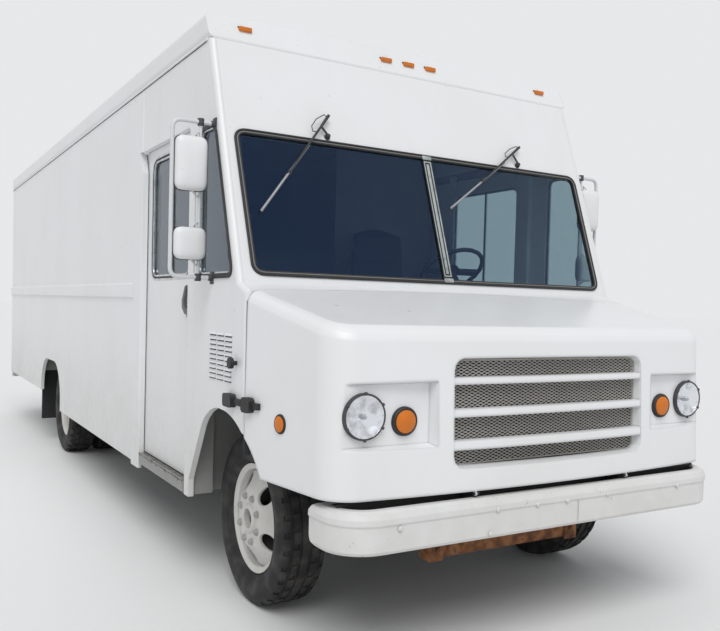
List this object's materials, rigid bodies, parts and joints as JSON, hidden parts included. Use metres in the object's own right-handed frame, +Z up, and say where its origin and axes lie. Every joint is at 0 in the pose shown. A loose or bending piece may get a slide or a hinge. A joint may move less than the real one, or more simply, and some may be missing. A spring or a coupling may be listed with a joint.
{
  "type": "walk-in delivery van",
  "caption": "White step van with a forward-tilting moulded hood, raked two-pane windshield, sliding cab doors, swinging rear doors and dual rear wheels.",
  "frame": {"origin": "on the ground under the tyres, at the middle of the overall length and width", "axes": "+Z up, +Y towards the rear doors, +X towards the van's left (driver's) side; the front faces -Y"},
  "size_m": [2.804, 8.526, 2.94],
  "materials": {
    "white_paint": "satin, weathered",
    "moulded_white": "glass-fibre gel coat, slightly dulled",
    "bumper_paint": "white paint with chips and rust spots",
    "frame_black": "matt black, dusty",
    "rusty_steel": "rusted",
    "wheel_paint": "white, dusty",
    "tyre": "worn rubber",
    "glass": "lightly tinted",
    "black_rubber": "matt",
    "lamp_glass": "clear lens over a bright reflector",
    "amber_plastic": "clear amber lens",
    "red_plastic": "clear red lens",
    "floor_metal": "mill finish, scuffed",
    "cab_plastic": "grained dark grey",
    "seat_vinyl": "black vinyl",
    "black_metal": "satin black"
  },
  "bodies": {
    "chassis": {"chassis_frame": "frame_black", "front_crossmember": "rusty_steel", "front_bumper": "bumper_paint", "rear_bumper": "bumper_paint", "engine_block": "frame_black", "front_axle": "frame_black", "rear_axle": "frame_black", "leaf_springs": "frame_black", "fuel_tank": "frame_black", "radiator": "frame_black", "mud_flaps": "black_rubber", "floor": "floor_metal", "step_wells": "floor_metal", "bulkhead": "floor_metal", "dashboard": "cab_plastic", "seat": "seat_vinyl", "steering_wheel": "cab_plastic", "front_panel": "white_paint", "cab_side_left": "white_paint", "cab_side_right": "white_paint", "cargo_side_left": "white_paint", "cargo_side_right": "white_paint", "roof": "white_paint", "roof_front_cap": "white_paint", "roof_markers": "amber_plastic", "rear_frame": "white_paint", "tail_lamps": "red_plastic", "windshield_seal": "black_rubber", "cab_glass": "glass", "door_tracks": "floor_metal", "hood_latches": "black_rubber", "mirrors": "white_paint", "wipers": "black_metal"},
    "knuckle_left": {"knuckle_left": "frame_black"},
    "knuckle_right": {"knuckle_right": "frame_black"},
    "front_wheel_left": {"front_rim_left": "wheel_paint", "front_tyre_left": "tyre"},
    "front_wheel_right": {"front_rim_right": "wheel_paint", "front_tyre_right": "tyre"},
    "rear_wheels_left": {"rear_rims_left": "wheel_paint", "rear_tyres_left": "tyre"},
    "rear_wheels_right": {"rear_rims_right": "wheel_paint", "rear_tyres_right": "tyre"},
    "cab_door_left": {"cab_door_left": "white_paint", "door_glass_left": "glass"},
    "cab_door_right": {"cab_door_right": "white_paint", "door_glass_right": "glass"},
    "rear_door_left": {"rear_door_left": "white_paint", "rear_glass_left": "glass"},
    "rear_door_right": {"rear_door_right": "white_paint", "rear_glass_right": "glass"},
    "hood": {"hood": "moulded_white", "grille_mesh": "frame_black", "headlamps": "lamp_glass", "hood_lamps": "amber_plastic", "latch_keepers": "black_rubber"}
  },
  "joints": [
    {"name": "steer_left", "type": "hinge", "parent": "chassis", "child": "knuckle_left", "pos_m": [0.79, -3.153, 0.417], "axis": [0, 0, 1], "range_deg": [-32, 32]},
    {"name": "steer_right", "type": "hinge", "parent": "chassis", "child": "knuckle_right", "pos_m": [-0.79, -3.153, 0.417], "axis": [0, 0, 1], "range_deg": [-32, 32]},
    {"name": "front_left_spin", "type": "hinge", "parent": "knuckle_left", "child": "front_wheel_left", "pos_m": [0.895, -3.153, 0.417], "axis": [1, 0, 0], "continuous": true},
    {"name": "front_right_spin", "type": "hinge", "parent": "knuckle_right", "child": "front_wheel_right", "pos_m": [-0.895, -3.153, 0.417], "axis": [1, 0, 0], "continuous": true},
    {"name": "rear_left_spin", "type": "hinge", "parent": "chassis", "child": "rear_wheels_left", "pos_m": [0.8125, 1.367, 0.417], "axis": [1, 0, 0], "continuous": true},
    {"name": "rear_right_spin", "type": "hinge", "parent": "chassis", "child": "rear_wheels_right", "pos_m": [-0.8125, 1.367, 0.417], "axis": [1, 0, 0], "continuous": true},
    {"name": "cab_door_left_slide", "type": "slide", "parent": "chassis", "child": "cab_door_left", "axis": [0, 1, 0], "range_m": [0, 0.69]},
    {"name": "cab_door_right_slide", "type": "slide", "parent": "chassis", "child": "cab_door_right", "axis": [0, 1, 0], "range_m": [0, 0.69]},
    {"name": "rear_door_left_swing", "type": "hinge", "parent": "chassis", "child": "rear_door_left", "pos_m": [0.756, 4.165, 1.6], "axis": [0, 0, -1], "range_deg": [0, 180]},
    {"name": "rear_door_right_swing", "type": "hinge", "parent": "chassis", "child": "rear_door_right", "pos_m": [-0.756, 4.165, 1.6], "axis": [0, 0, 1], "range_deg": [0, 180]},
    {"name": "hood_tilt", "type": "hinge", "parent": "chassis", "child": "hood", "pos_m": [0, -4.221, 0.711], "axis": [1, 0, 0], "range_deg": [0, 50]}
  ],
  "couplings": [
    {"joint": "steer_right", "follows": "steer_left", "ratio": 1}
  ]
}
